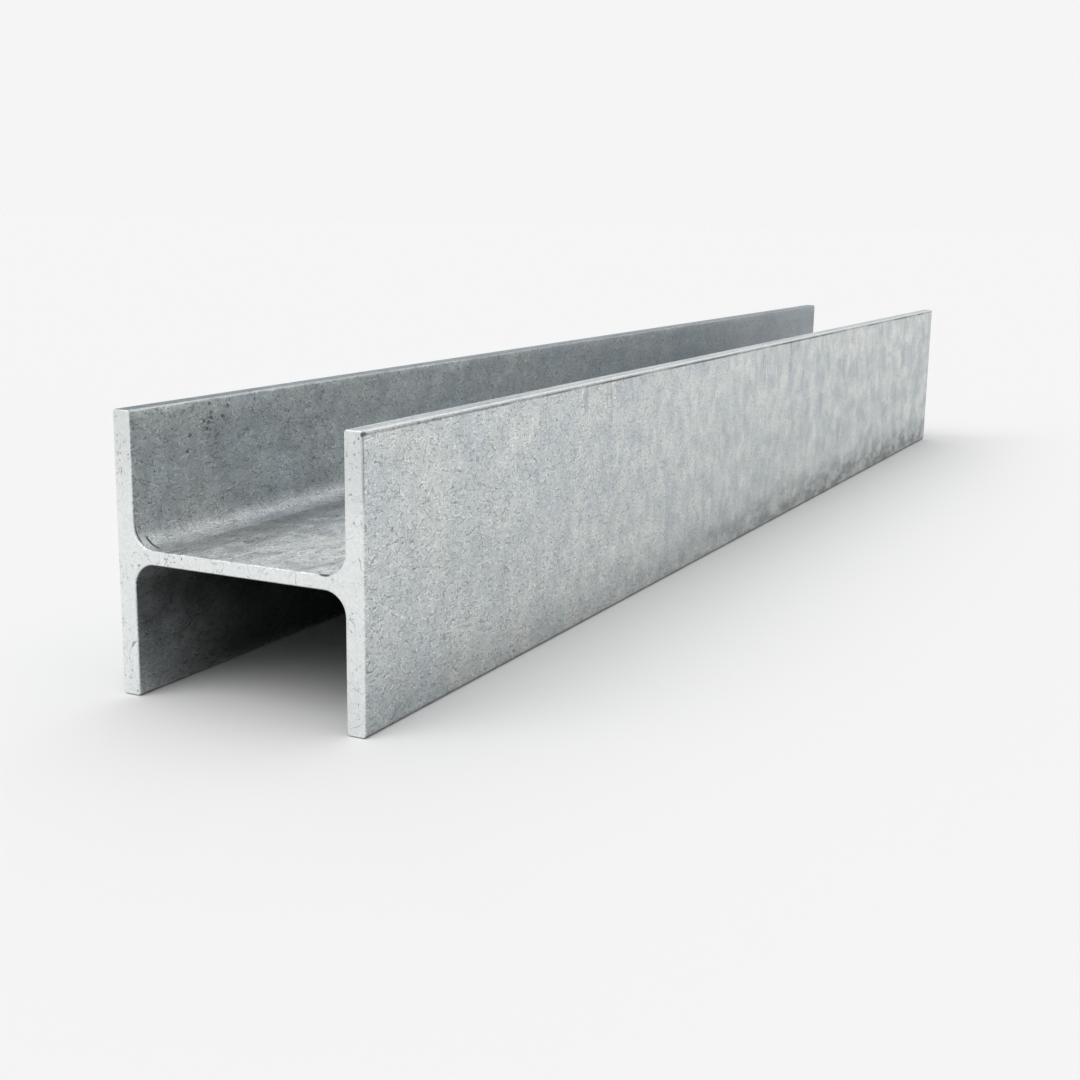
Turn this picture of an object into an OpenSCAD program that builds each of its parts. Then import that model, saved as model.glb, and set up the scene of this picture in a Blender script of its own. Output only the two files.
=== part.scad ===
// Wide-flange steel I-beam: hot-rolled, sawn to length and hot-dip galvanised.
// It lies on its flange toes with the web level. X runs along the beam, Y from flange to flange
// and Z up. The origin is on the floor, under the middle of the beam. Sizes are in millimetres.

/* [Section] */
// Depth of the section, over the outer faces of the two flanges
section_depth = 125; // [100:1:400]
// Width of each flange, from toe to toe
flange_width = 125; // [100:1:400]
// Thickness of each flange
flange_thickness = 9; // [6:0.5:20]
// Thickness of the web
web_thickness = 6.5; // [5:0.5:16]
// Radius of the root fillet that blends the web into a flange
root_radius = 10; // [5:0.5:24]
// Radius that the rolls leave on the edges of a flange toe
toe_radius = 1.5; // [0.5:0.25:2.5]

/* [Stock] */
// Length that the beam is sawn to
beam_length = 1000; // [300:10:6000]
// Width of the broken arris round each sawn end
end_arris = 0.75; // [0.25:0.25:1.5]

/* [Hidden] */
$fn = 64;
// Light grey of weathered zinc
zinc_grey = [0.73, 0.75, 0.76];
// The web lies half way up the flanges
web_level = flange_width / 2;
// Half the clear distance between the two flanges
clear_half = section_depth / 2 - flange_thickness;
// Centre line of a root fillet, measured from the middle of the web
root_centre_y = clear_half - root_radius;
root_centre_z = web_thickness / 2 + root_radius;

// Lays a flat outline along the beam: the outline's x becomes Y and its y becomes Z
module along_beam(length) {
    rotate([90, 0, 90])
        linear_extrude(length, center = true)
            children();
}

// Stands a flat outline up across the beam: the outline's y becomes Z
module across_beam(depth) {
    rotate([90, 0, 0])
        linear_extrude(depth, center = true)
            children();
}

// Rectangle with round corners, centred
module rounded_rectangle(width, height, radius) {
    square([width - 2 * radius, height], center = true);
    square([width, height - 2 * radius], center = true);
    for (x = [-1, 1], y = [-1, 1])
        translate([x * (width / 2 - radius), y * (height / 2 - radius)])
            circle(radius);
}

// Rectangle with its corners cut off at 45 degrees, centred
module bevelled_rectangle(width, height, bevel) {
    x = width / 2;
    y = height / 2;
    polygon([
        [bevel - x, -y], [x - bevel, -y], [x, bevel - y], [x, y - bevel],
        [x - bevel, y], [bevel - x, y], [-x, y - bevel], [-x, bevel - y]
    ]);
}

// Web plate, reaching to the middle of each flange
module web() {
    across_beam(section_depth - flange_thickness)
        bevelled_rectangle(beam_length, web_thickness, end_arris);
}

// One flange on its edge: rolled toes along it, and a broken arris at each sawn end
module flange(side) {
    translate([0, side * (section_depth - flange_thickness) / 2, 0])
        intersection() {
            along_beam(beam_length)
                rounded_rectangle(flange_thickness, flange_width, toe_radius);
            across_beam(flange_thickness)
                bevelled_rectangle(beam_length, flange_width, end_arris);
            linear_extrude(flange_width, center = true)
                bevelled_rectangle(beam_length, flange_thickness, end_arris);
        }
}

// One of the four root fillets: a square bar in the corner, hollowed by a cylinder of the root
// radius whose mouth at each sawn end opens out by the arris
module root_fillet(side, face) {
    reach_y = root_radius + flange_thickness / 2;
    reach_z = root_radius + web_thickness / 2;
    difference() {
        translate([0, side * (root_centre_y + reach_y / 2), face * (root_centre_z - reach_z / 2)])
            cube([beam_length, reach_y, reach_z], center = true);
        translate([0, side * root_centre_y, face * root_centre_z])
            root_cutter();
    }
}

// Cylinder that hollows a root fillet, with a cone at each sawn end
module root_cutter() {
    rotate([0, 90, 0])
        cylinder(h = beam_length, r = root_radius, center = true);
    for (end = [-1, 1])
        translate([end * beam_length / 2, 0, 0])
            rotate([0, -90 * end, 0])
                cylinder(h = end_arris, r1 = root_radius + end_arris, r2 = root_radius);
}

// The whole beam, rolled as one piece
module i_beam() {
    color(zinc_grey)
        translate([0, 0, web_level]) {
            web();
            for (side = [-1, 1]) {
                flange(side);
                for (face = [-1, 1])
                    root_fillet(side, face);
            }
        }
}

i_beam();
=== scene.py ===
# %% [markdown]
# # A galvanised wide-flange beam
#
# The object is one length of rolled steel with an I-shaped section. It lies on its flange toes, so
# the web is level and the section reads as an H. The mill rolls it as one piece, a saw cuts it to
# length, and a bath of molten zinc gives it its mottled grey skin.
#
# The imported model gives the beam's size and place. This lesson makes the surface that is seen: the
# section, its sweep along the beam, the relief and the colour of the zinc, and a plain studio.

import bpy
import numpy as np
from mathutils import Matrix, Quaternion, Vector


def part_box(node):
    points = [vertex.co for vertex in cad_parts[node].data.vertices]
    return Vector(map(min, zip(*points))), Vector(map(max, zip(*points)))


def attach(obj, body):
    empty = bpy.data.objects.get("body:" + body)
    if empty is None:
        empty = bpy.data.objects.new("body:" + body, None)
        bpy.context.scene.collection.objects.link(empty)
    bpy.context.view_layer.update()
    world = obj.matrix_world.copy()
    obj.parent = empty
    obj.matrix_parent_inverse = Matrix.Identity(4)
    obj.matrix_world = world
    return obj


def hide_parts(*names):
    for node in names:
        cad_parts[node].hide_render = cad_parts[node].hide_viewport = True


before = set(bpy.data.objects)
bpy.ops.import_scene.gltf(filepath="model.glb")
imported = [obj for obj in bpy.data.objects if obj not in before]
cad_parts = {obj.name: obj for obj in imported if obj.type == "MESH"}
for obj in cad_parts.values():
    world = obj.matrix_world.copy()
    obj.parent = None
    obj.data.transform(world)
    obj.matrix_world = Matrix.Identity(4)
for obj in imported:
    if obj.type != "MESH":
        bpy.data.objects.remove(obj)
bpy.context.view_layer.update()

# %% [markdown]
# ## The section
#
# The rolls leave two kinds of round corner. The eight toe corners are slightly rounded, and the four
# roots, where the web meets a flange, have a wide hollow fillet. Every corner is a right angle, so
# one formula draws them all. A bevelled curve could draw the same outline, but here each point also
# needs its outward direction and its distance along the outline, for the relief that comes later.

# %% Sizes of the section, in metres
NODE = "i_beam"
FLANGE_THICKNESS = 0.009
WEB_THICKNESS = 0.0065
ROOT_RADIUS = 0.010
TOE_RADIUS = 0.0015
ARRIS = 0.00075

low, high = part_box(NODE)
BEAM_LENGTH = high.x - low.x
HALF_LENGTH = BEAM_LENGTH / 2
HALF_DEPTH = (high.y - low.y) / 2
FLANGE_WIDTH = high.z - low.z
FLANGE_INNER = HALF_DEPTH - FLANGE_THICKNESS
WEB_TOP = (FLANGE_WIDTH + WEB_THICKNESS) / 2
WEB_UNDER = (FLANGE_WIDTH - WEB_THICKNESS) / 2
print(f"beam {BEAM_LENGTH:.3f} m long, {2 * HALF_DEPTH:.3f} m deep, flanges {FLANGE_WIDTH:.3f} m wide")


# %% Outline with round corners
def right_of(direction):
    """A direction turned a quarter turn to the right, which points out of an anticlockwise outline."""
    return np.stack([direction[..., 1], -direction[..., 0]], -1)


def rounded_outline(corners, radii, spacing, arc_steps):
    """Points, outward directions and lengths along a closed outline of right angles.

    A corner's arc turns from the side that arrives to the side that leaves. With t from 0 to 90
    degrees, a point on it is: centre - radius * leaving * cos t + radius * arriving * sin t.
    The sides between the arcs are straight and are divided into steps of about `spacing`.
    """
    arriving = corners - np.roll(corners, 1, axis=0)
    arriving /= np.linalg.norm(arriving, axis=1, keepdims=True)
    leaving = np.roll(arriving, -1, axis=0)
    radius = radii[:, None]
    centre = corners - radius * arriving + radius * leaving

    t = np.linspace(0, np.pi / 2, arc_steps + 1)[None, :, None]
    arcs = centre[:, None] + radius[:, None] * (
        arriving[:, None] * np.sin(t) - leaving[:, None] * np.cos(t)
    )
    arc_normals = right_of(arriving)[:, None] * np.cos(t) + right_of(leaving)[:, None] * np.sin(t)

    points, normals = [], []
    for k in range(len(corners)):
        start, end = arcs[k, -1], arcs[(k + 1) % len(corners), 0]
        count = max(1, int(np.ceil(np.linalg.norm(end - start) / spacing)))
        share = np.arange(1, count)[:, None] / count
        points += [arcs[k], start + share * (end - start)]
        normals += [arc_normals[k], np.repeat(right_of(leaving)[k][None], count - 1, axis=0)]
    points, normals = np.concatenate(points), np.concatenate(normals)
    steps = np.linalg.norm(points - np.roll(points, 1, axis=0), axis=1)
    return points, normals, np.cumsum(steps) - steps[0]


print("a side that goes up faces", right_of(np.array([0.0, 1.0])))

# %% The I outline
POINT_SPACING = 0.0045
ARC_STEPS = 8

i_corners = np.array([
    [HALF_DEPTH, 0], [HALF_DEPTH, FLANGE_WIDTH],
    [FLANGE_INNER, FLANGE_WIDTH], [FLANGE_INNER, WEB_TOP],
    [-FLANGE_INNER, WEB_TOP], [-FLANGE_INNER, FLANGE_WIDTH],
    [-HALF_DEPTH, FLANGE_WIDTH], [-HALF_DEPTH, 0],
    [-FLANGE_INNER, 0], [-FLANGE_INNER, WEB_UNDER],
    [FLANGE_INNER, WEB_UNDER], [FLANGE_INNER, 0],
])
is_root = np.isclose(np.abs(i_corners[:, 1] - FLANGE_WIDTH / 2), WEB_THICKNESS / 2)
i_radii = np.where(is_root, ROOT_RADIUS, TOE_RADIUS)

outline, outward, along = rounded_outline(i_corners, i_radii, POINT_SPACING, ARC_STEPS)
section_y, section_z = outline.T
outward_y, outward_z = outward.T
print(len(outline), "points round the section, over", round(float(along[-1]), 4), "m")

# %% [markdown]
# ## Stations along the beam
#
# A rolled beam is its section carried along a straight line. Each station along the line gets a copy
# of the outline. At the sawn ends a file has broken the sharp edge, so there the copies draw in along
# a quarter circle. A Bevel modifier could round these edges too, but stations can also crowd
# together where a small mark needs them.

# %% Stations
ARRIS_STEPS = 4
STATION_STEP = 0.0027
BODY_HALF = HALF_LENGTH - ARRIS
GROOVE_X = 0.006 - HALF_LENGTH
GROOVE_STEPS = 0.00035 * np.arange(-3, 4)
END_STEPS = np.array([0.0005, 0.0011, 0.0018])

body_x = np.linspace(-BODY_HALF, BODY_HALF, int(np.ceil(2 * BODY_HALF / STATION_STEP)) + 1)
close_to_end = BODY_HALF - END_STEPS
across_groove = GROOVE_X + GROOVE_STEPS
body_x = np.unique(np.concatenate([body_x, -close_to_end, across_groove, close_to_end]))

turn = np.linspace(0, np.pi / 2, ARRIS_STEPS + 1)[1:]
end_x = BODY_HALF + ARRIS * np.sin(turn)
end_draw = ARRIS * (1 - np.cos(turn))

station = np.concatenate([-end_x[::-1], body_x, end_x])
draw_in = np.concatenate([end_draw[::-1], np.zeros(len(body_x)), end_draw])
print(len(station), "stations along the beam")


# %% [markdown]
# ## Relief of the zinc
#
# Molten zinc drains off the beam as it leaves the bath. It freezes in soft upright runs and tongues on
# the outer flange faces, and in a faint ripple elsewhere. Sculpting would give one such skin. A sum
# of waves with random lengths and phases gives a skin that can be measured and repeated, and whose
# height the colour can follow. All relief is cut inwards, so the beam keeps its size.

# %% Random waves
WAVE_COUNT = 72


def ease(value, start, end):
    """0 up to start and 1 from end on, with a smooth S between: 3t^2 - 2t^3. It falls if start > end."""
    t = np.clip((value - start) / (end - start), 0, 1)
    return t * t * (3 - 2 * t)


def wave_field(around, lengthwise, size_around, size_along, seed):
    """Smooth random field on a grid, with a spread of about 1.

    It is a sum of cosines of (p * around + q * lengthwise + phase). The wave numbers p and q are
    drawn from a bell curve, as narrow as the wanted patches are large. Written as a product of two
    tables, cos(a + b) = cos a cos b - sin a sin b, it takes two matrix products.
    """
    rng = np.random.default_rng(seed)
    p = rng.normal(0, 1 / size_around, WAVE_COUNT)
    q = rng.normal(0, 1 / size_along, WAVE_COUNT)
    phase = rng.uniform(0, 2 * np.pi, WAVE_COUNT)
    a = np.outer(around, p) + phase
    b = np.outer(lengthwise, q)
    return np.sqrt(2 / WAVE_COUNT) * (np.cos(a) @ np.cos(b).T - np.sin(a) @ np.sin(b).T)


print("a field is a sum of", WAVE_COUNT, "waves")

# %% Where each face lies on the section
FACING_OUT = 0.99
TOE_BLEND = 0.006
END_BLEND = 0.012
FAR_HALF = (-0.30, 0.25)

side = np.sign(section_y)
faces_out = outward_y * side
from_toe = np.minimum(section_z, FLANGE_WIDTH - section_z)
plain = ease(from_toe, TOE_RADIUS, TOE_BLEND)
outer_face = plain * (faces_out > FACING_OUT)
channel_face = plain * (faces_out < FACING_OUT)
from_end = HALF_LENGTH - np.abs(station)
far_half = ease(station, *FAR_HALF)
away_from_ends = ease(from_end, ARRIS, END_BLEND)
print("points on the outer faces:", int((outer_face > 0).sum()))
print("points in the channels:", int((channel_face > 0).sum()))

# %% Tongues
TONGUE_COUNT = 46
TONGUE_SPAN = (-0.15, 0.48)
TONGUE_LENGTH = (0.010, 0.032)
TONGUE_HALF_WIDTH = (0.0028, 0.0046)
TONGUE_WIDENS = (0.0, 0.4)
TONGUE_LEAN = 0.45
TONGUE_TIP = 0.007


def tongues(count, seed):
    """Tongues of zinc that hang from the upper edge of a flange, with heights from 0 to 1.

    A tongue is a bell curve across its path, with a soft tip at its lower end. Its path leans:
    x = x at the edge + lean * depth below the edge. Tongues on the far half are wider.
    """
    rng = np.random.default_rng(seed)
    edge_x = rng.uniform(*TONGUE_SPAN, count)
    length = rng.uniform(*TONGUE_LENGTH, count)
    half_width = rng.uniform(*TONGUE_HALF_WIDTH, count) * (1 + ease(edge_x, *TONGUE_WIDENS))
    lean = rng.normal(0, TONGUE_LEAN, count)
    below = (FLANGE_WIDTH - section_z)[:, None, None]
    off_path = station[None, :, None] - edge_x - lean * below
    heights = np.exp(-((off_path / half_width) ** 2)) * ease(length - below, 0, TONGUE_TIP)
    return heights.max(axis=2)


tongue = np.where(side[:, None] < 0, tongues(TONGUE_COUNT, seed=31), tongues(TONGUE_COUNT, seed=32))
print(TONGUE_COUNT, "tongues on each flange, on a grid of", tongue.shape)

# %% Runs and ripple
RUN_DEPTH = 0.00045
RUN_SIZES = (0.0060, 0.0062)
RUN_MIDDLE = 0.35
RUN_STEEPNESS = 1.2
RUN_NEAR_SHARE = 0.20
RIPPLE_DEPTH = 0.00010
RIPPLE_SIZES = (0.014, 0.022)

run_wave = wave_field(along, station, *RUN_SIZES, seed=4)
run_height = np.maximum(RUN_MIDDLE + RUN_MIDDLE * np.tanh(RUN_STEEPNESS * run_wave), tongue)
run_share = outer_face[:, None] * (RUN_NEAR_SHARE + (1 - RUN_NEAR_SHARE) * far_half) * away_from_ends
ripple = 0.5 + 0.5 * np.tanh(wave_field(along, station, *RIPPLE_SIZES, seed=9))

relief = RUN_DEPTH * run_share * (1 - run_height)
relief += RIPPLE_DEPTH * channel_face[:, None] * away_from_ends * ripple
print("deepest run", round(float(relief.max()) * 1000, 3), "mm")

# %% [markdown]
# ## A groove and a nick
#
# Two small marks show near the front end: a scored groove in one root fillet, and a nick at the upper
# corner of the outer face. Boolean cuts would need clean-up. Here each mark is a bell curve that
# is added to the inset of the points around it.

# %% Groove and nick near the front end
GROOVE_DEPTH = 0.00045
GROOVE_HALF = 0.00060
GROOVE_START_DEGREES = (26, 44)
GROOVE_STOP_DEGREES = (92, 72)
ARC_TOLERANCE = 1e-5
NICK_DEPTH = 0.0008
NICK_PLACE = (0.0020 - HALF_LENGTH, -HALF_DEPTH, FLANGE_WIDTH - 0.0017)
NICK_SIZES = (0.0016, 0.0012, 0.0009)

root_y = FLANGE_INNER - ROOT_RADIUS
root_z = WEB_TOP + ROOT_RADIUS
below_root = np.degrees(np.arctan2(root_z - section_z, section_y - root_y))
from_root = np.hypot(section_y - root_y, section_z - root_z)
on_root = np.isclose(from_root, ROOT_RADIUS, atol=ARC_TOLERANCE)
groove_arc = on_root * ease(below_root, *GROOVE_START_DEGREES) * ease(below_root, *GROOVE_STOP_DEGREES)
groove = groove_arc[:, None] * np.exp(-(((station - GROOVE_X) / GROOVE_HALF) ** 2))

nick_along = ((station - NICK_PLACE[0]) / NICK_SIZES[0]) ** 2
nick_across = ((section_y - NICK_PLACE[1]) / NICK_SIZES[1]) ** 2
nick_up = ((section_z - NICK_PLACE[2]) / NICK_SIZES[2]) ** 2
nick = np.exp(-(nick_across + nick_up)[:, None] - nick_along)

inset = draw_in + relief + GROOVE_DEPTH * groove + NICK_DEPTH * nick
print("groove over", int((groove > 0.5).sum()), "points, nick over", int((nick > 0.5).sum()))


# %% [markdown]
# ## The surface
#
# Each point of the grid is an outline point at a station, drawn in by its inset. Neighbouring points
# make four-sided faces, and the two end rings close as flat caps. A curve with a bevel object could
# sweep the plain section, but a grid holds the relief as well, and the finish can read numbers from
# its points.

# %% Points and faces
def sweep(outline, outward, station, inset):
    """Grid of points: an outline carried along x, each point drawn in against its outward direction.

    Point (i, j) is outline point i at station j, moved in by inset[i, j].
    """
    section = outline[:, None] - outward[:, None] * inset[..., None]
    x = np.broadcast_to(station, inset.shape)[..., None]
    return np.concatenate([x, section], -1)


def tube_faces(around, lengthwise):
    """Four-sided faces between neighbours of a grid that closes on itself round the outline.

    The corners of face (i, j) are points (i, j), (i + 1, j), (i + 1, j + 1) and (i, j + 1).
    """
    i = np.arange(around)[:, None] * lengthwise
    j = np.arange(lengthwise - 1)[None, :]
    after = np.roll(i, -1, axis=0)
    corners = [i + j, after + j, after + j + 1, i + j + 1]
    return np.stack(np.broadcast_arrays(*corners), -1).reshape(-1, 4)


surface = sweep(outline, outward, station, inset)
faces = tube_faces(len(outline), len(station))
near_ring = np.arange(len(outline)) * len(station)
far_ring = near_ring + len(station) - 1
caps = [near_ring[::-1].tolist(), far_ring.tolist()]

beam_mesh = bpy.data.meshes.new("galvanised_beam")
beam_mesh.from_pydata(surface.reshape(-1, 3), [], [*faces.tolist(), *caps])
smooth = np.ones(len(beam_mesh.polygons), bool)
smooth[-len(caps):] = False
beam_mesh.polygons.foreach_set("use_smooth", smooth)
print("beam", len(beam_mesh.vertices), "points,", len(beam_mesh.polygons), "faces")

# %% The beam's object
beam = bpy.data.objects.new("galvanised_beam", beam_mesh)
bpy.context.scene.collection.objects.link(beam)
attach(beam, "root")
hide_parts(NODE)
beam_mesh.calc_loop_triangles()
print("beam", len(beam_mesh.loop_triangles), "triangles")

# %% [markdown]
# ## Shares that the finish reads
#
# Weather, handling and the saw have each left their mark on different parts of the section, and
# painted shade and painted highlights lie on some parts too. Vertex paint could say where, brushed on by
# hand. Here the height and the outward direction of each point say it, so the marks end exactly at the
# edges. Each mark is a share from 0 to 1, stored on the points.

# %% Parts of the section
INSIDE_EDGE = (0.0005, 0.0020)
MIDDLE_BLEND = 0.001
FLAT_FACING = (0.80, 1.0)
TOE_ZONE = 0.1
UPPER_TOE_FACING = (0.5, 1.0)
LOWER_TOE_FACING = (0.2, 0.8)
CORNER_FACING = (0.25, 0.60)

inside = (faces_out < FACING_OUT) * ease(from_toe, *INSIDE_EDGE)
lower_half = ease(FLANGE_WIDTH / 2 - section_z, 0, MIDDLE_BLEND)
web_flat = ease(np.abs(outward_z), *FLAT_FACING) * channel_face
wall_flat = ease(np.abs(outward_y), *FLAT_FACING)
upper_toe = ease(outward_z, *UPPER_TOE_FACING) * (section_z > (1 - TOE_ZONE) * FLANGE_WIDTH)
lower_toe = ease(-outward_z, *LOWER_TOE_FACING) * (section_z < TOE_ZONE * FLANGE_WIDTH)
toe_corner = ease(np.minimum(np.abs(outward_y), np.abs(outward_z)), *CORNER_FACING)
toe_corner = toe_corner * (section_z > FLANGE_WIDTH - TOE_RADIUS)
print(int((inside * lower_half > 0.5).sum()), "points of the section face the lower channel")

# %% Painted shade of the lower channel and the lower toes
LOW_LEVELS = (0.022, 0.006)
HIGH_LEVELS = (0.020, 0.046)
HIGH_REACH = 0.06
SHADE_AT_END = 0.25
SHADE_DEEP_IN = 0.53
SHADE_REACH = 0.083
SHADE_LOW = 0.09
SHADE_HIGH = 0.72
SHADE_UNDER_WEB = 0.89
SHADE_LOWER_TOE = 0.55

# Painted shade: the lower channel is darkened as if in the beam's own shadow, least at the ends and most
# deep inside, high up and under the web. The lower toe edges get painted shade where they meet the
# floor.
low_in_channel = ease(section_z, *LOW_LEVELS)[:, None]
high_in_channel = ease(section_z, *HIGH_LEVELS)[:, None] * ease(from_end, -HIGH_REACH, HIGH_REACH)
deep_shade = SHADE_AT_END + SHADE_DEEP_IN * ease(from_end, 0.0, SHADE_REACH) + SHADE_LOW * low_in_channel
under_shade = deep_shade + SHADE_HIGH * high_in_channel * (1 - deep_shade)
under_shade = np.maximum(under_shade, SHADE_UNDER_WEB * web_flat[:, None])
shade_share = (inside * lower_half)[:, None] * under_shade + SHADE_LOWER_TOE * lower_toe[:, None]
print("darkest shade", round(float(shade_share.max()), 2))

# %% Painted shade on the upper walls and toes
WALL_SHADE_NEAR = 0.145
WALL_SHADE_FAR = 0.29
WALL_SHADE_LAST = 0.14
LAST_STRETCH = (0.15, 0.50)
LOW_WALL_LEVELS = (0.112, 0.085)
WALL_SHADE_LOW = 0.07
TOE_SHADE_BACK = 0.93
TOE_SHADE_FRONT = 0.42

# Painted shade as a darker, bluer grey: on the upper channel walls, growing towards the far end and a
# little less low on the near walls, and on the tops of the toes, darkest on the back toe.
low_on_wall = ease(section_z, *LOW_WALL_LEVELS)[:, None]
wall_shade = WALL_SHADE_NEAR + WALL_SHADE_FAR * far_half + WALL_SHADE_LAST * ease(station, *LAST_STRETCH)
wall_shade = wall_shade - WALL_SHADE_LOW * low_on_wall * (1 - far_half)
toe_shade = upper_toe * np.where(side > 0, TOE_SHADE_BACK, TOE_SHADE_FRONT)
wall_and_toe_shade = (inside * (1 - lower_half) * wall_flat)[:, None] * wall_shade + toe_shade[:, None]
print("thickest film", round(float(wall_and_toe_shade.max()), 2))

# %% Rubbed edges with painted highlights, and sawn ends
ARRIS_RISE = 0.2
ARRIS_FALL = 0.3
ARRIS_RUB_AND_HIGHLIGHT = 0.5
EDGE_RUB_AND_HIGHLIGHT = 0.36
FRONT_EDGE_RUB_AND_HIGHLIGHT = 0.80
BACK_HIGHLIGHT_FADE = (-0.46, -0.12)

# Painted highlights and wear: the arrises and the toe corners are made bright, partly as rubbing from
# handling and partly as the glint a round edge catches. The front toe's outer corner is brightest.
on_arris = ease(draw_in, 0, ARRIS_RISE * ARRIS) * ease(ARRIS - draw_in, 0, ARRIS_FALL * ARRIS)
arris_rub_and_highlight = ARRIS_RUB_AND_HIGHLIGHT - ARRIS_RUB_AND_HIGHLIGHT * web_flat
toe_rub_and_highlight = toe_corner * np.where(outward_y > 0, EDGE_RUB_AND_HIGHLIGHT, FRONT_EDGE_RUB_AND_HIGHLIGHT * (side < 0))
back_rub_and_highlight = EDGE_RUB_AND_HIGHLIGHT * toe_corner * (side > 0) * (outward_y < 0)
edge_rub_and_highlight = np.maximum(toe_rub_and_highlight[:, None], back_rub_and_highlight[:, None] * (1 - ease(station, *BACK_HIGHLIGHT_FADE)))
rub_and_highlight_share = np.maximum(edge_rub_and_highlight, arris_rub_and_highlight[:, None] * on_arris)
sawn_share = ease(draw_in, ARRIS_RISE * ARRIS, ARRIS) * np.ones(inset.shape)
print("most rubbed", round(float(rub_and_highlight_share.max()), 2))


# %% Store the shares
def write_share(mesh, name, values):
    """Stores one number for each point, which the finish reads back by name."""
    layer = mesh.attributes.new(name, "FLOAT", "POINT")
    layer.data.foreach_set("value", np.ascontiguousarray(values, np.float32).ravel())


write_share(beam_mesh, "runs", run_share * (2 * run_height - 1))
write_share(beam_mesh, "shade", shade_share)
write_share(beam_mesh, "wall", wall_and_toe_shade)
write_share(beam_mesh, "rub_and_highlight", rub_and_highlight_share)
write_share(beam_mesh, "sawn", sawn_share)
write_share(beam_mesh, "groove", groove)
beam_mesh.update()
print("shares:", [layer.name for layer in beam_mesh.attributes if layer.data_type == "FLOAT"])

# %% [markdown]
# ## The zinc finish
#
# Dull zinc is a metal with a fine crystal grain under a thin film of its own oxide. It is cool grey
# with paler, warmer clouds. A photographed texture would repeat and would need unwrapping. Noise in
# the beam's own coordinates keeps its real size, never repeats and runs over every edge. The helpers
# here each add one or two nodes, so that the steps after them read like a recipe.

# %% A material, and a short way to add its nodes
zinc = bpy.data.materials.new("dull_zinc")
zinc.use_nodes = True
tree = zinc.node_tree


def add_node(kind, inputs, **settings):
    """Adds a node to the zinc. Its inputs take plain values, or the outputs of other nodes."""
    made = tree.nodes.new("ShaderNode" + kind)
    for name, value in settings.items():
        setattr(made, name, value)
    for name, value in inputs.items():
        if isinstance(value, bpy.types.NodeSocket):
            tree.links.new(value, made.inputs[name])
        else:
            made.inputs[name].default_value = value
    return made


def calc(operation, first, second=0.0):
    """One sum on two numbers."""
    return add_node("Math", {0: first, 1: second}, operation=operation).outputs["Value"]


def vector_calc(operation, first, second):
    """One sum on two vectors."""
    return add_node("VectorMath", {0: first, 1: second}, operation=operation).outputs


place = add_node("TexCoord", {}).outputs["Object"]
axes = add_node("SeparateXYZ", {"Vector": place}).outputs
lengthwise, across, height = axes["X"], axes["Y"], axes["Z"]
from_middle = calc("ABSOLUTE", across)
print("material with", len(tree.nodes), "nodes")

# %% Noise, ramps and mixes
MIX_SHARE, MIX_FIRST, MIX_SECOND, MIX_RESULT = 0, 6, 7, 2


def noise(place, size, detail=2.0, roughness=0.5, distortion=0.0):
    """Cloudy noise from 0 to 1, with patches of about `size` metres, or of three sizes along x, y, z."""
    sizes = size if isinstance(size, tuple) else (size, size, size)
    scaled = vector_calc("DIVIDE", place, sizes)["Vector"]
    inputs = {"Vector": scaled, "Scale": 1.0, "Detail": detail}
    inputs |= {"Roughness": roughness, "Distortion": distortion}
    return add_node("TexNoise", inputs).outputs["Fac"]


def ramp(value, start, end, low=0.0, high=1.0):
    """Turns the range start to end into the range low to high along a smooth S, and holds it outside.

    Below, a name that is passed to a ramp with a star holds its start and end, or all four of them.
    """
    inputs = {"Value": value, "From Min": start, "From Max": end, "To Min": low, "To Max": high}
    return add_node("MapRange", inputs, interpolation_type="SMOOTHSTEP").outputs["Result"]


def mix(share, first, second, blend_type="MIX"):
    """Mixes two colours by a share from 0 to 1."""
    inputs = {MIX_SHARE: share, MIX_FIRST: first, MIX_SECOND: second}
    return add_node("Mix", inputs, data_type="RGBA", blend_type=blend_type).outputs[MIX_RESULT]


def tinted(first, second):
    """A colour multiplied by a colour or by a number."""
    return mix(1.0, first, second, "MULTIPLY")


print("helpers ready,", len(tree.nodes), "nodes")

# %% [markdown]
# ## Clouds and grain
#
# Two greys drift into each other in clouds of a few centimetres. Over them lies the grain: short curled
# strokes, half a millimetre wide, where crystals meet. Cells of a Voronoi texture would be closed and
# hard-edged, which dull zinc isn't. A stroke here follows the line along which a smooth noise crosses
# its middle value, with a dark side and a pale side, as a low ridge has. Such lines curl and never
# cross, and because their two sides balance, they leave the grey as it is.

# %% Clouds
ZINC_COOL = (0.545, 0.585, 0.604, 1)
ZINC_WARM = (0.625, 0.648, 0.642, 1)
CLOUD_SIZE = 0.062
CLOUD_EDGE = (0.36, 0.64)
MOTTLE_SIZE = 0.0095
MOTTLE_RANGE = (0.3, 0.7)
MOTTLE_TONES = (0.895, 1.105)

cloud = ramp(noise(place, CLOUD_SIZE, detail=3), *CLOUD_EDGE)
mottle = noise(place, MOTTLE_SIZE, detail=3, roughness=0.55)
colour = mix(cloud, ZINC_COOL, ZINC_WARM)
colour = tinted(colour, ramp(mottle, *MOTTLE_RANGE, *MOTTLE_TONES))
print("clouds painted,", len(tree.nodes), "nodes")

# %% Grain
STROKE_STRETCH = 2.2
LINE_VALUE = 0.5
SIDE_OFFSET = 0.055
SIDE_HALF = 0.095
DARK_SIDE = 0.315
PALE_SIDE = 0.210
KEPT_EDGE = (0.44, 0.54, 0.10, 1.0)
FINE_SIZE = 0.0009


def product_of(*shares):
    """Product of several shares, so that all of them must hold."""
    product = shares[0]
    for share in shares[1:]:
        product = calc("MULTIPLY", product, share)
    return product


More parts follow.
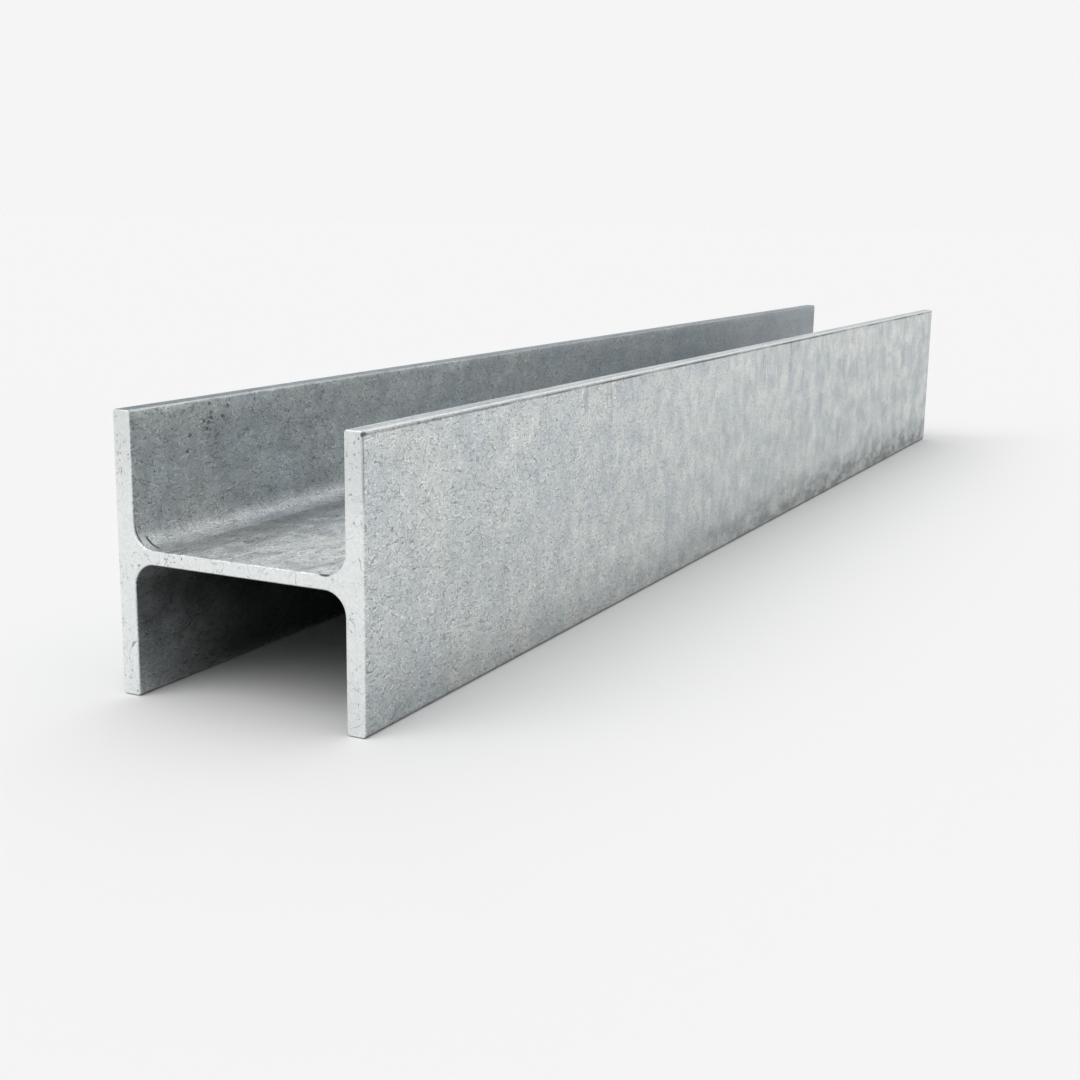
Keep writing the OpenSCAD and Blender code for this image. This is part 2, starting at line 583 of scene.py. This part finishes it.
def near_to(value, level, half_width):
    """1 where a value has a level, falling to 0 at half_width to each side of it."""
    return ramp(calc("ABSOLUTE", calc("SUBTRACT", value, level)), 0.0, half_width, 1.0, 0.0)


def strokes(size, stretch_size, strength):
    """Short curled ridges of a dark and a pale side.

    The dark side is where a noise is just under its middle value, and the pale side where it is just
    over it. A wider noise keeps some stretches of the line and thins the rest. Both are longer in x.
    """
    line = noise(place, (STROKE_STRETCH * size, size, size), detail=0.0)
    kept = noise(place, (STROKE_STRETCH * stretch_size, stretch_size, stretch_size), detail=0.0)
    dark_side = product_of(near_to(line, LINE_VALUE - SIDE_OFFSET, SIDE_HALF), DARK_SIDE)
    pale_side = product_of(near_to(line, LINE_VALUE + SIDE_OFFSET, SIDE_HALF), PALE_SIDE)
    ridge = calc("SUBTRACT", pale_side, dark_side)
    return product_of(ridge, ramp(kept, *KEPT_EDGE), strength)


long_strokes = strokes(size=0.0019, stretch_size=0.0024, strength=1.0)
short_strokes = strokes(size=0.0015, stretch_size=0.0021, strength=0.9)
grain = calc("ADD", long_strokes, short_strokes)
fine = noise(place, FINE_SIZE, detail=0.0)
print("grain made,", len(tree.nodes), "nodes")

# %% [markdown]
# ## Blotches, streaks and runs
#
# On the outer faces the zinc that drained last is thicker, and it dries paler and warmer than the rest.
# Between the runs the thin zinc is bluer. The near end shows only the grain, the middle fine streaks,
# and the far half blotches and long drips. Each could be painted by hand on an unwrapped face. Here
# each is a noise of its own size that mixes the pale zinc with the blue, and the runs follow the
# relief, so that colour and shape agree. The runs' colour is also painted light and shade: ridges are
# paler and the gaps bluer, so the relief shows more than the light alone gives. A few dark drips hang
# from the upper edge.

# %% Stretches of the outer faces
OUTER_EDGE = (HALF_DEPTH - 0.0016, HALF_DEPTH - 0.0008)
FRONT_EDGE = (0.01, -0.01)
MIDDLE_RISE = (-0.50, -0.20, 0.25, 1.0)
MIDDLE_FALL = (0.00, 0.40, 1.0, 0.3)
FAR_RISE = (-0.34, 0.22, 0.15, 1.0)
BACK_FACE_SHARE = 0.55

outer = ramp(from_middle, *OUTER_EDGE)
front = product_of(outer, ramp(across, *FRONT_EDGE))
outer_mid = product_of(ramp(lengthwise, *MIDDLE_RISE), ramp(lengthwise, *MIDDLE_FALL))
outer_mid = product_of(outer, outer_mid)
on_front = ramp(front, 0.0, 1.0, BACK_FACE_SHARE, 1.0)
outer_far = product_of(outer, ramp(lengthwise, *FAR_RISE), on_front)
print("stretches marked,", len(tree.nodes), "nodes")

# %% Blotches, drips and streaks
ZINC_PALE = (0.728, 0.742, 0.708, 1)
ZINC_BLUE = (0.432, 0.477, 0.507, 1)
BLOTCH_SIZE = (0.0310, 0.0310, 0.0160)
BLOTCH_EDGE = (0.36, 0.64)
BLOTCH_SHARE = 0.83
DRIP_SIZE = (0.0135, 0.0135, 0.0480)
DRIP_EDGE = (0.33, 0.67)
DRIP_SHARE = 0.30
STREAK_SIZE = (0.0100, 0.0100, 0.0135)
STREAK_EDGE = (0.26, 0.74)
STREAK_SHARE = 0.48

blotch = noise(place, BLOTCH_SIZE, detail=3, roughness=0.55, distortion=0.5)
drip = noise(place, DRIP_SIZE, detail=2, roughness=0.5, distortion=0.4)
streak = noise(place, STREAK_SIZE, detail=2, roughness=0.5, distortion=0.3)
blotches = mix(ramp(blotch, *BLOTCH_EDGE), ZINC_BLUE, ZINC_PALE)
drips = mix(ramp(drip, *DRIP_EDGE), ZINC_BLUE, ZINC_PALE)
streaks = mix(ramp(streak, *STREAK_EDGE), ZINC_BLUE, ZINC_PALE)
colour = mix(product_of(outer_far, BLOTCH_SHARE), colour, blotches)
colour = mix(product_of(outer_far, DRIP_SHARE), colour, drips)
colour = mix(product_of(outer_mid, STREAK_SHARE), colour, streaks)
print("blotches, drips and streaks painted,", len(tree.nodes), "nodes")

# %% Runs with painted light and shade, and dark drips from the upper edge
ZINC_SLATE = (0.130, 0.172, 0.200, 1)
PALE_RUN_AND_LIGHT = (0.0, 0.9, 0.0, 0.40)
BLUE_GAP_AND_SHADE = (-0.1, -0.8, 0.0, 0.30)
EDGE_DRIP_SIZE = (0.0060, 0.0060, 0.0300)
EDGE_DRIP_EDGE = (0.57, 0.70, 0.0, 0.30)
EDGE_DRIP_LEVELS = (0.075, 0.118)


def share_of(name):
    """Reads a number that the mesh stores at each point."""
    return add_node("Attribute", {}, attribute_name=name).outputs["Fac"]


runs = share_of("runs")
# Partly the zinc's own colour and partly painted light and shade: the ridges of the relief turn paler
# and the gaps between the runs bluer.
colour = mix(ramp(runs, *PALE_RUN_AND_LIGHT), colour, ZINC_PALE)
colour = mix(ramp(runs, *BLUE_GAP_AND_SHADE), colour, ZINC_BLUE)
edge_drip = ramp(noise(place, EDGE_DRIP_SIZE, detail=2, distortion=0.7), *EDGE_DRIP_EDGE)
edge_drip = product_of(edge_drip, outer_mid, ramp(height, *EDGE_DRIP_LEVELS))
colour = mix(edge_drip, colour, ZINC_SLATE)
print("runs painted,", len(tree.nodes), "nodes")

# %% [markdown]
# ## Painted shade and light by height, and the edge line
#
# The outer faces are painted darker towards the lower edge, as painted shade where the beam lies on the
# ground, and a little paler towards the upper edge, as painted light. A broken dark line follows the
# upper edge, where the rolled corner starts. A gradient alone would look like shadow, so the shade near
# the lower edge of the far half and the line are both broken up by noise.

# %% Painted shade at the lower edge, painted light at the upper
ZINC_DARK = (0.085, 0.094, 0.098, 1)
LOW_EDGE_SHADE = (0.0, 0.036, 0.86, 1.0)
HIGH_EDGE_LIGHT = (0.05, 0.12, 1.0, 1.07)
BOTTOM_SHADE_SIZE = (0.0200, 0.0200, 0.0080)
BOTTOM_SHADE_EDGE = (0.40, 0.62)
BOTTOM_SHADE_LEVELS = (0.030, 0.002, 0.0, 0.60)

# Painted shade and light by height: the outer faces darken towards the lower edge and brighten towards
# the upper edge.
shade_and_light_by_height = product_of(ramp(height, *LOW_EDGE_SHADE), ramp(height, *HIGH_EDGE_LIGHT))
colour = mix(outer, colour, tinted(colour, shade_and_light_by_height))
# Painted shade near the lower edge of the far half, broken up by noise.
bottom_shade = ramp(noise(place, BOTTOM_SHADE_SIZE, detail=4, roughness=0.6), *BOTTOM_SHADE_EDGE)
bottom_shade = product_of(bottom_shade, outer_far, ramp(height, *BOTTOM_SHADE_LEVELS))
colour = mix(bottom_shade, colour, ZINC_DARK)
print("dirt painted,", len(tree.nodes), "nodes")

# %% Broken line at the upper edge
LINE_LEVEL = FLANGE_WIDTH - 0.0017
LINE_HALF = 0.0008
LINE_BREAK_SIZE = (0.045, 0.2, 0.2)
LINE_BREAK_EDGE = (0.36, 0.56, 0.35, 1.0)
LINE_RISE = (-0.46, -0.24, 0.55, 1.0)

broken = ramp(noise(place, LINE_BREAK_SIZE, detail=3), *LINE_BREAK_EDGE)
edge_line = product_of(outer, broken, ramp(lengthwise, *LINE_RISE))
edge_line = product_of(edge_line, near_to(height, LINE_LEVEL, LINE_HALF))
colour = mix(edge_line, colour, ZINC_DARK)
print("edge line painted,", len(tree.nodes), "nodes")

# %% [markdown]
# ## Pits and smears
#
# Ash from the bath leaves dark pits, most of them in clusters, with one row of them high on an inner
# wall near the front end. They are smaller than the faces of the mesh, so they are painted and not
# dented. On the web, which lies level, water has left long smears, and a band of painted shade darkens
# the web beside the root of the back flange. The inner walls have fainter smears. Noise that is
# stretched along the beam and distorted gives the smears their flow.

# %% Clusters of pits
PIT_SIZE = 0.0018
PIT_EDGE = (0.64, 0.73)
LARGE_PIT_SIZE = 0.0036
LARGE_PIT_EDGE = (0.60, 0.70)
CLUSTER_SIZE = 0.025
CLUSTER_EDGE = (0.46, 0.64, 0.06, 0.75)
OUTER_PIT_SHARE = 0.45
PIT_CORNER = (-0.430, FLANGE_INNER, 0.121)
PIT_CORNER_SIZES = (0.100, 0.004, 0.026)
CORNER_PIT_SHARE = 0.35


def spot(place, centre, sizes):
    """1 inside an egg-shaped spot of half lengths `sizes`, and 0 outside it."""
    away = vector_calc("SUBTRACT", place, centre)["Vector"]
    away = vector_calc("DIVIDE", away, sizes)["Vector"]
    return ramp(vector_calc("LENGTH", away, (0, 0, 0))["Value"], 1.0, 0.5)


def largest_of(*shares):
    """Largest of several shares, so that any of them is enough."""
    largest = shares[0]
    for share in shares[1:]:
        largest = calc("MAXIMUM", largest, share)
    return largest


pit = ramp(noise(place, PIT_SIZE, detail=1.5), *PIT_EDGE)
large_pit = ramp(noise(place, LARGE_PIT_SIZE, detail=1.5), *LARGE_PIT_EDGE)
cluster = ramp(noise(place, CLUSTER_SIZE, detail=2), *CLUSTER_EDGE)
pit_share = product_of(pit, cluster, ramp(outer, 0.0, 1.0, 1.0, OUTER_PIT_SHARE))
pit_corner = spot(place, PIT_CORNER, PIT_CORNER_SIZES)
corner_share = product_of(largest_of(pit, large_pit), pit_corner, CORNER_PIT_SHARE)
print("clusters of pits made,", len(tree.nodes), "nodes")

# %% A row of single pits
SINGLE_PIT_SIZES = (0.0015, 0.0040, 0.0011)
SINGLE_PIT_SHARE = 0.72
PIT_ROW = [(-0.447, 0.1225), (-0.446, 0.1184), (-0.446, 0.1161), (-0.448, 0.1141), (-0.449, 0.1113)]
STRAY_PITS = [(-0.451, 0.1150), (-0.438, 0.1160), (-0.434, 0.1203), (-0.461, 0.1096), (-0.463, 0.1028)]

single_pits = [spot(place, (x, FLANGE_INNER, z), SINGLE_PIT_SIZES) for x, z in PIT_ROW + STRAY_PITS]
row_share = product_of(largest_of(*single_pits), SINGLE_PIT_SHARE)
colour = mix(largest_of(pit_share, corner_share, row_share), colour, ZINC_DARK)
print(len(single_pits), "single pits painted,", len(tree.nodes), "nodes")

# %% Smears, and painted shade on the web
ZINC_SAWN = (0.792, 0.818, 0.815, 1)
WEB_EDGE = (0.0042, 0.0034)
WEB_REACH = (0.047, 0.041)
SMEAR_SIZE = (0.0295, 0.0067, 0.0067)
DARK_SMEAR = (0.53, 0.72, 0.0, 0.38)
PALE_SMEAR = (0.47, 0.32, 0.0, 0.60)
ROOT_SHADE_RISE = (0.008, 0.036)
ROOT_SHADE_FALL = (0.0440, 0.0395)
ROOT_SHADE_LENGTH = (-0.50, -0.43, 0.22, 0.40)

off_web = calc("ABSOLUTE", calc("SUBTRACT", height, FLANGE_WIDTH / 2))
web = product_of(ramp(off_web, *WEB_EDGE), ramp(from_middle, *WEB_REACH))
smear = noise(place, SMEAR_SIZE, detail=4, roughness=0.62, distortion=1.0)
colour = mix(product_of(web, ramp(smear, *DARK_SMEAR)), colour, ZINC_DARK)
colour = mix(product_of(web, ramp(smear, *PALE_SMEAR)), colour, ZINC_SAWN)
# Painted shade: a dark band on the web beside the back flange's root, stronger away from the front end.
root_shade = product_of(web, ramp(across, *ROOT_SHADE_RISE), ramp(across, *ROOT_SHADE_FALL))
root_shade = product_of(root_shade, ramp(lengthwise, *ROOT_SHADE_LENGTH))
colour = mix(root_shade, colour, ZINC_DARK)
print("web painted,", len(tree.nodes), "nodes")

# %% Smears on the inner walls
WALL_EDGE = (0.050, 0.053)
WALL_SMEAR_SIZE = (0.060, 0.010, 0.010)
WALL_SMEAR_TONES = (0.30, 0.70, 0.93, 1.07)

wall_smear = noise(place, WALL_SMEAR_SIZE, detail=4, roughness=0.6, distortion=0.8)
walls = product_of(ramp(from_middle, *WALL_EDGE), ramp(outer, 1.0, 0.0))
colour = mix(walls, colour, tinted(colour, ramp(wall_smear, *WALL_SMEAR_TONES)))
print("walls painted,", len(tree.nodes), "nodes")

# %% [markdown]
# ## Painted shade, sawn ends, and rubbed edges with painted highlights
#
# The walls of the channels and the tops of the toes get a darker, bluer grey as painted shade, and the
# web gets a trace of it towards the back flange. The lower channel and the web's underside get the
# darkest painted shade. The sawn ends are the palest zinc, made paler still as painted light, with a few
# dark hairlines. Handling has rubbed the toe edges and the arrises bright, and painted highlights add to
# that. Each could be a material of its own, with a hard seam between them. One material that mixes them
# by the shares on the points has none.

# %% Painted shade, and lines along the upper toes
WEB_SHADE = (-0.045, 0.01, 0.0, 0.04)
TOE_LINE_SIZE = (0.070, 0.0022, 0.0022)
TOE_LINE_TONES = (0.35, 0.65, 0.86, 1.10)
TOE_TOP = (FLANGE_WIDTH - 0.0010, FLANGE_WIDTH - 0.0004)

# Painted shade: the web darkens towards the back flange, and the walls, the toes and the lower channel
# take the painted shade stored on the points.
web_shade = product_of(web, ramp(across, *WEB_SHADE))
colour = mix(largest_of(share_of("wall"), web_shade), colour, ZINC_SLATE)
# Painted shade in the lower channel and on the lower toe edges.
colour = mix(share_of("shade"), colour, ZINC_DARK)
toe_lines = noise(place, TOE_LINE_SIZE, detail=2)
on_toe = product_of(ramp(height, *TOE_TOP), ramp(outer, 1.0, 0.0))
colour = mix(on_toe, colour, tinted(colour, ramp(toe_lines, *TOE_LINE_TONES)))
print("sheltered faces painted,", len(tree.nodes), "nodes")

# %% Sawn ends, made paler with painted light
SAWN_TOP_TONE = (0.078, 0.118, 1.0, 0.90)
DARKER_CORNER = (-HALF_LENGTH, -0.058, 0.122)
DARKER_CORNER_SIZES = (0.02, 0.016, 0.040)
DARKER_CORNER_TONE = 0.96
HAIRLINE_SIZE = 0.011
HAIRLINE_HALF = 0.012
HAIRLINE_BREAK_SIZE = 0.0083
HAIRLINE_BREAK_EDGE = (0.45, 0.58, 0.0, 0.62)
SAWN_PIT_SHARE = 0.9

# The sawn ends are the palest zinc, made paler still as painted light. They turn a little darker towards
# the top and at the upper corner of the front flange's end.
sawn = share_of("sawn")
darker_corner = spot(place, DARKER_CORNER, DARKER_CORNER_SIZES)
sawn_tone = product_of(ramp(height, *SAWN_TOP_TONE), ramp(darker_corner, 0.0, 1.0, 1.0, DARKER_CORNER_TONE))
colour = mix(sawn, colour, tinted(ZINC_SAWN, sawn_tone))
hairline = noise(place, HAIRLINE_SIZE, detail=2, distortion=1.5)
hairline = near_to(hairline, LINE_VALUE, HAIRLINE_HALF)
hairline = product_of(hairline, ramp(noise(place, HAIRLINE_BREAK_SIZE), *HAIRLINE_BREAK_EDGE))
sawn_marks = largest_of(hairline, product_of(pit, cluster, SAWN_PIT_SHARE))
colour = mix(product_of(sawn, sawn_marks), colour, ZINC_DARK)
print("sawn ends painted,", len(tree.nodes), "nodes")

# %% Rubbed edges and painted highlights
ZINC_BRIGHT = (0.930, 0.945, 0.940, 1)

rub_and_highlight = share_of("rub_and_highlight")
# Painted highlights and wear on the rubbed edges.
colour = mix(rub_and_highlight, colour, ZINC_BRIGHT)
print("rubbed edges painted,", len(tree.nodes), "nodes")

# %% Grain over all of them
SAWN_GRAIN = 0.12
RUB_AND_HIGHLIGHT_GRAIN = (0.0, 0.6, 1.0, 0.35)
WEB_GRAIN = 1.15
FAR_STRETCH = (-0.50, 0.10)
FAR_GRAIN = 0.85
FRONT_FAR_GRAIN = 0.50
FINE_RANGE = (0.25, 0.75)
FINE_LOW, SAWN_FINE_LOW = 0.96, 1.00
FINE_HIGH, SAWN_FINE_HIGH = 1.12, 1.08

front_far = product_of(front, ramp(lengthwise, *FAR_STRETCH))
grain_gain = product_of(
    ramp(sawn, 0.0, 1.0, 1.0, SAWN_GRAIN),
    ramp(rub_and_highlight, *RUB_AND_HIGHLIGHT_GRAIN),
    ramp(web, 0.0, 1.0, 1.0, WEB_GRAIN),
    ramp(lengthwise, *FAR_STRETCH, 1.0, FAR_GRAIN),
    ramp(front_far, 0.0, 1.0, 1.0, FRONT_FAR_GRAIN),
)
laid_grain = product_of(grain, grain_gain)
fine_low = ramp(sawn, 0.0, 1.0, FINE_LOW, SAWN_FINE_LOW)
fine_high = ramp(sawn, 0.0, 1.0, FINE_HIGH, SAWN_FINE_HIGH)
tone = calc("ADD", laid_grain, ramp(fine, *FINE_RANGE, fine_low, fine_high))
colour = tinted(colour, tone)
print("grain laid over,", len(tree.nodes), "nodes")

# %% [markdown]
# ## Marks near the front end
#
# The groove and the nick are painted dark. A few more marks are only stains: one on the
# edge of the web, a line beside the groove, and a line down the corner below the nick. A decal would
# need a picture, so they are painted by their place on the beam.

# %% Groove, nick and stains
GROOVE_DARK = (0.12, 0.5, 0.0, 0.95)
NICK_DARK = (-HALF_LENGTH, -HALF_DEPTH, FLANGE_WIDTH - 0.0016)
NICK_DARK_SIZES = (0.0046, 0.0020, 0.0014)
NICK_DARK_SHARE = 0.9
WEB_STAIN = (-HALF_LENGTH, -0.0435, WEB_TOP)
WEB_STAIN_SIZES = (0.0012, 0.0036, 0.0009)
SIDE_LINE = (-HALF_LENGTH, 0.0512, 0.0722)
SIDE_LINE_SIZES = (0.004, 0.0046, 0.0070)
SIDE_LINE_X, SIDE_LINE_HALF = 0.0012 - HALF_LENGTH, 0.0007
CORNER_LINE = (-HALF_LENGTH, -HALF_DEPTH, 0.113)
CORNER_LINE_SIZES = (0.003, 0.0012, 0.024)
CORNER_LINE_X, CORNER_LINE_HALF = 0.0004 - HALF_LENGTH, 0.0008
CORNER_LINE_SHARE = 0.55

# The groove and the nick are painted dark, and the other marks are stains.
groove_dark = ramp(share_of("groove"), *GROOVE_DARK)
nick_dark = product_of(spot(place, NICK_DARK, NICK_DARK_SIZES), outer, NICK_DARK_SHARE)
web_stain = spot(place, WEB_STAIN, WEB_STAIN_SIZES)
side_line = near_to(lengthwise, SIDE_LINE_X, SIDE_LINE_HALF)
side_line = product_of(side_line, spot(place, SIDE_LINE, SIDE_LINE_SIZES))
corner_line = near_to(lengthwise, CORNER_LINE_X, CORNER_LINE_HALF)
corner_line = product_of(corner_line, spot(place, CORNER_LINE, CORNER_LINE_SIZES), CORNER_LINE_SHARE)
colour = mix(largest_of(groove_dark, nick_dark, web_stain, side_line, corner_line), colour, ZINC_DARK)
print("marks painted,", len(tree.nodes), "nodes")

# %% [markdown]
# ## Gloss and bump
#
# Weathered zinc still reflects as a metal, but softly. The mottle that colours it also makes it more
# or less rough, and the grain stands a little proud, so that the strokes catch the light. In the mesh
# such a grain would take millions of faces. A Bump node only tilts the light on it.

# %% Gloss and bump
METAL_SHARE = 0.9
ROUGHNESS_RANGE = (0.44, 0.56)
BUMP_STRENGTH = 0.20
BUMP_DISTANCE = 0.0003

shader = tree.nodes["Principled BSDF"]
shader.inputs["Metallic"].default_value = METAL_SHARE
tree.links.new(colour, shader.inputs["Base Color"])
tree.links.new(ramp(mottle, *MOTTLE_RANGE, *ROUGHNESS_RANGE), shader.inputs["Roughness"])
bump = add_node("Bump", {"Height": laid_grain, "Strength": BUMP_STRENGTH, "Distance": BUMP_DISTANCE})
tree.links.new(bump.outputs["Normal"], shader.inputs["Normal"])
beam_mesh.materials.append(zinc)
print("zinc has", len(tree.nodes), "nodes")

# %% [markdown]
# ## Floor and light
#
# The studio is a pale floor under a soft white sky. The floor is so wide that its edge meets the sky at
# the horizon, in the same white. A curved paper backdrop would do the same. The sky is brighter at
# the zenith and at the horizon than between them, so that the metal has something to reflect. Two wide
# suns, one from each end, add a soft direction. Area lamps could too, but they fade along a long beam.

# %% Floor
FLOOR_HALF = 40.0
FLOOR_DROP = 0.0002
FLOOR_GREY = (0.815, 0.815, 0.815, 1)
FLOOR_ROUGHNESS = 1.0
FLOOR_GLOSS = 0.0

floor_mesh = bpy.data.meshes.new("floor")
floor_corners = np.array([[-1, -1, 0], [1, -1, 0], [1, 1, 0], [-1, 1, 0]]) * FLOOR_HALF
floor_mesh.from_pydata(floor_corners - [0, 0, FLOOR_DROP], [], [[0, 1, 2, 3]])
floor = bpy.data.objects.new("floor", floor_mesh)
bpy.context.scene.collection.objects.link(floor)

pale = bpy.data.materials.new("pale_floor")
pale.use_nodes = True
pale_shader = pale.node_tree.nodes["Principled BSDF"]
pale_shader.inputs["Base Color"].default_value = FLOOR_GREY
pale_shader.inputs["Roughness"].default_value = FLOOR_ROUGHNESS
pale_shader.inputs["Specular IOR Level"].default_value = FLOOR_GLOSS
floor_mesh.materials.append(pale)
print("floor", 2 * FLOOR_HALF, "m wide")

# %% Sky
SKY_STEPS = [(0.00, 0.913), (0.15, 0.913), (0.26, 0.40), (0.50, 0.45), (0.80, 1.05), (1.00, 1.05)]
SKY_WHITE = (1, 1, 1, 1)
CURVE_TOP = 2.0
FIRST_POINTS = 2

world = bpy.data.worlds.new("studio")
world.use_nodes = True
bpy.context.scene.world = world
sky = world.node_tree
direction = sky.nodes.new("ShaderNodeTexCoord")
split = sky.nodes.new("ShaderNodeSeparateXYZ")
level = sky.nodes.new("ShaderNodeFloatCurve")
curve = level.mapping.curves[0]
for k, (up, strength) in enumerate(SKY_STEPS):
    if k < FIRST_POINTS:
        curve.points[k].location = (up, strength / CURVE_TOP)
    else:
        curve.points.new(up, strength / CURVE_TOP)
for point in curve.points:
    point.handle_type = "VECTOR"
level.mapping.update()
full = sky.nodes.new("ShaderNodeMath")
full.operation = "MULTIPLY"
full.inputs[1].default_value = CURVE_TOP
background = sky.nodes["Background"]
background.inputs["Color"].default_value = SKY_WHITE
sky.links.new(direction.outputs["Generated"], split.inputs["Vector"])
sky.links.new(split.outputs["Z"], level.inputs["Value"])
sky.links.new(level.outputs["Value"], full.inputs[0])
sky.links.new(full.outputs["Value"], background.inputs["Strength"])
print("sky with", len(curve.points), "levels")

# %% Lamps
KEY_TOWARD, KEY_STRENGTH = (-0.60, 0.30, 0.74), 1.1
BACK_TOWARD, BACK_STRENGTH = (0.80, 0.28, 0.42), 0.42
SUN_SPREAD = np.radians(50)


def soft_sun(name, toward, strength):
    """A very wide sun: the same light everywhere, from the direction `toward`, with soft shadows."""
    lamp = bpy.data.lights.new(name, "SUN")
    lamp.energy = strength
    lamp.angle = SUN_SPREAD
    holder = bpy.data.objects.new(name, lamp)
    holder.rotation_mode = "QUATERNION"
    holder.rotation_quaternion = Vector(toward).to_track_quat("Z", "Y")
    bpy.context.scene.collection.objects.link(holder)


soft_sun("key", KEY_TOWARD, KEY_STRENGTH)
soft_sun("back", BACK_TOWARD, BACK_STRENGTH)
print("two soft suns, of strength", KEY_STRENGTH, "and", BACK_STRENGTH)

# %% [markdown]
# ## Camera
#
# The camera stands low beside the front end and looks along the beam, so that the near end shows its
# whole section and the far end is small. Its place, aim and lens were fitted to the beam's corners in
# the photograph. Moving it by eye could come close, but a fit settles lens and distance together.

# %% Camera
CAMERA_PLACE = Vector((-0.9907, -0.3816, 0.2067))
CAMERA_AIM = CAMERA_PLACE + Vector((0.8771, 0.4330, -0.2079))
CAMERA_ROLL = np.radians(0.91)
CAMERA_REACH = 200
SENSOR = 36
PHOTO_SIZE = 1080
FOCAL_PIXELS = 1520

camera_data = bpy.data.cameras.new("camera")
camera_data.sensor_width = SENSOR
camera_data.lens = SENSOR * FOCAL_PIXELS / PHOTO_SIZE
camera_data.clip_end = CAMERA_REACH
camera = bpy.data.objects.new("camera", camera_data)
camera.location = CAMERA_PLACE
camera.rotation_mode = "QUATERNION"
facing = (CAMERA_AIM - CAMERA_PLACE).to_track_quat("-Z", "Y")
camera.rotation_quaternion = facing @ Quaternion((0, 0, 1), CAMERA_ROLL)
bpy.context.scene.collection.objects.link(camera)
bpy.context.scene.camera = camera
bpy.context.scene.view_settings.view_transform = "Standard"
print("camera lens", round(camera_data.lens, 2), "mm")
